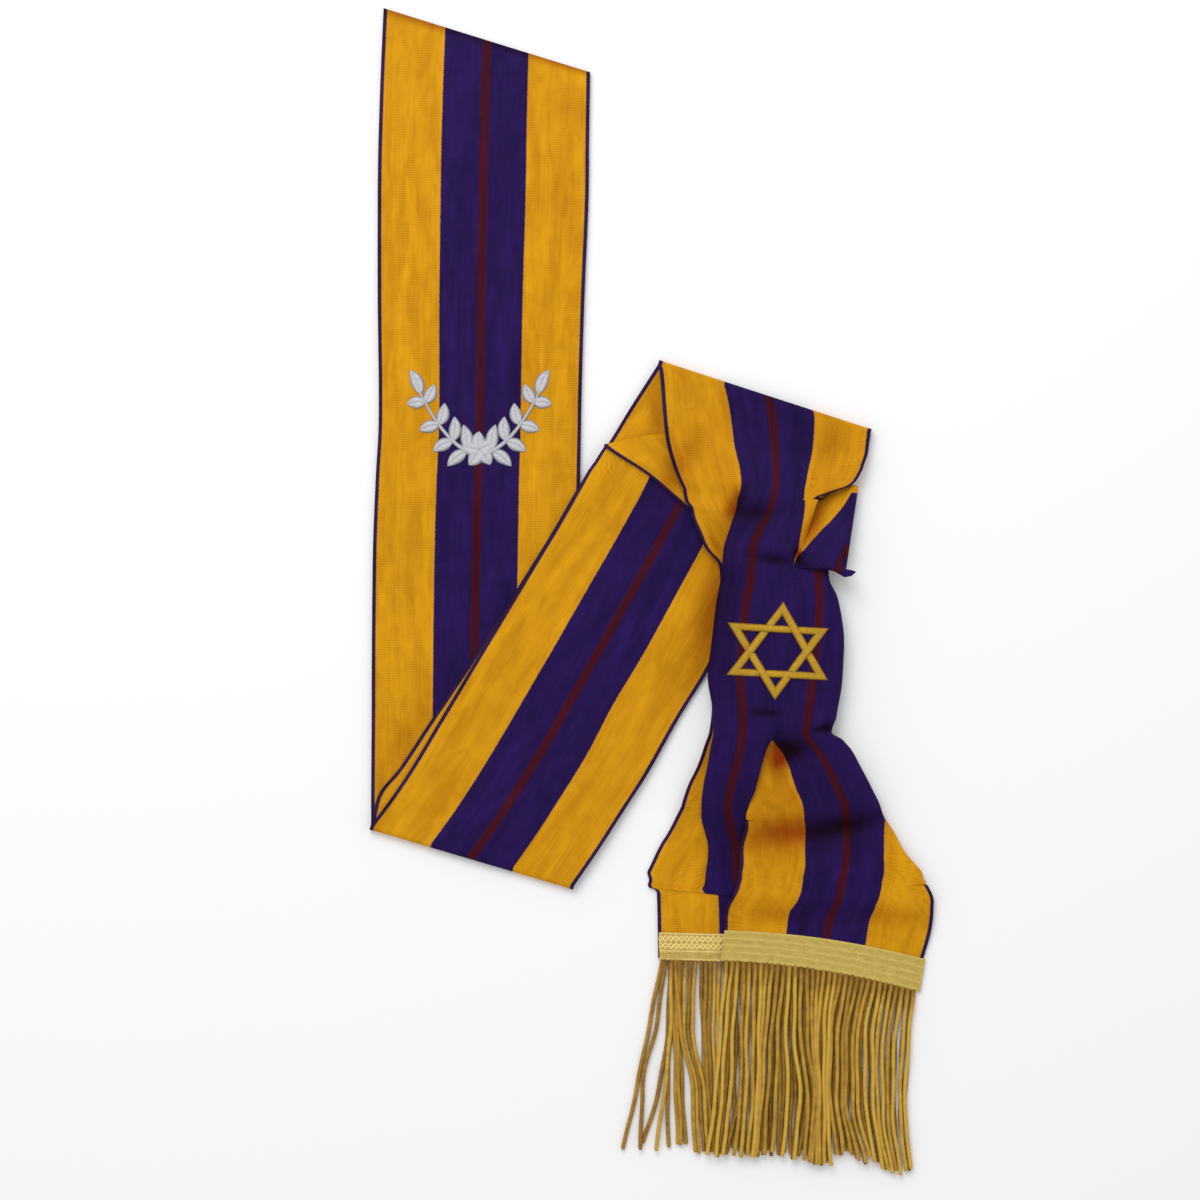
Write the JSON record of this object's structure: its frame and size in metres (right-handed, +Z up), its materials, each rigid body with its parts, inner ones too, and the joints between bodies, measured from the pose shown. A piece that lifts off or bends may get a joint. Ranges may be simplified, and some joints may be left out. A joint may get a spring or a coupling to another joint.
{
  "type": "ceremonial sash",
  "caption": "Striped ribbon sash laid flat in folded limbs, gathered in a knot with a six-pointed star, with braided and fringed tails and an embroidered leaf spray.",
  "frame": {"origin": "centre of the sash's outline, on the surface that it lies on", "axes": "+Y along the sash's longest extent towards the shoulder seam, +X to the right seen from above, +Z up out of the face"},
  "size_m": [0.2736, 0.5641, 0.0145],
  "materials": {
    "striped_ribbon": "watered ribbed silk, gold with purple bands and a red line",
    "gold_thread": "padded gold embroidery",
    "white_thread": "padded white satin stitch",
    "gold_braid": "woven metallic braid",
    "gold_cord": "twisted gold cord fringe"
  },
  "bodies": {
    "root": {"front_ribbon": "striped_ribbon", "back_ribbon": "striped_ribbon", "star": "gold_thread", "leaf_spray": "white_thread", "left_braid": "gold_braid", "right_braid": "gold_braid", "left_fringe": "gold_cord", "right_fringe": "gold_cord"}
  },
  "joints": []
}
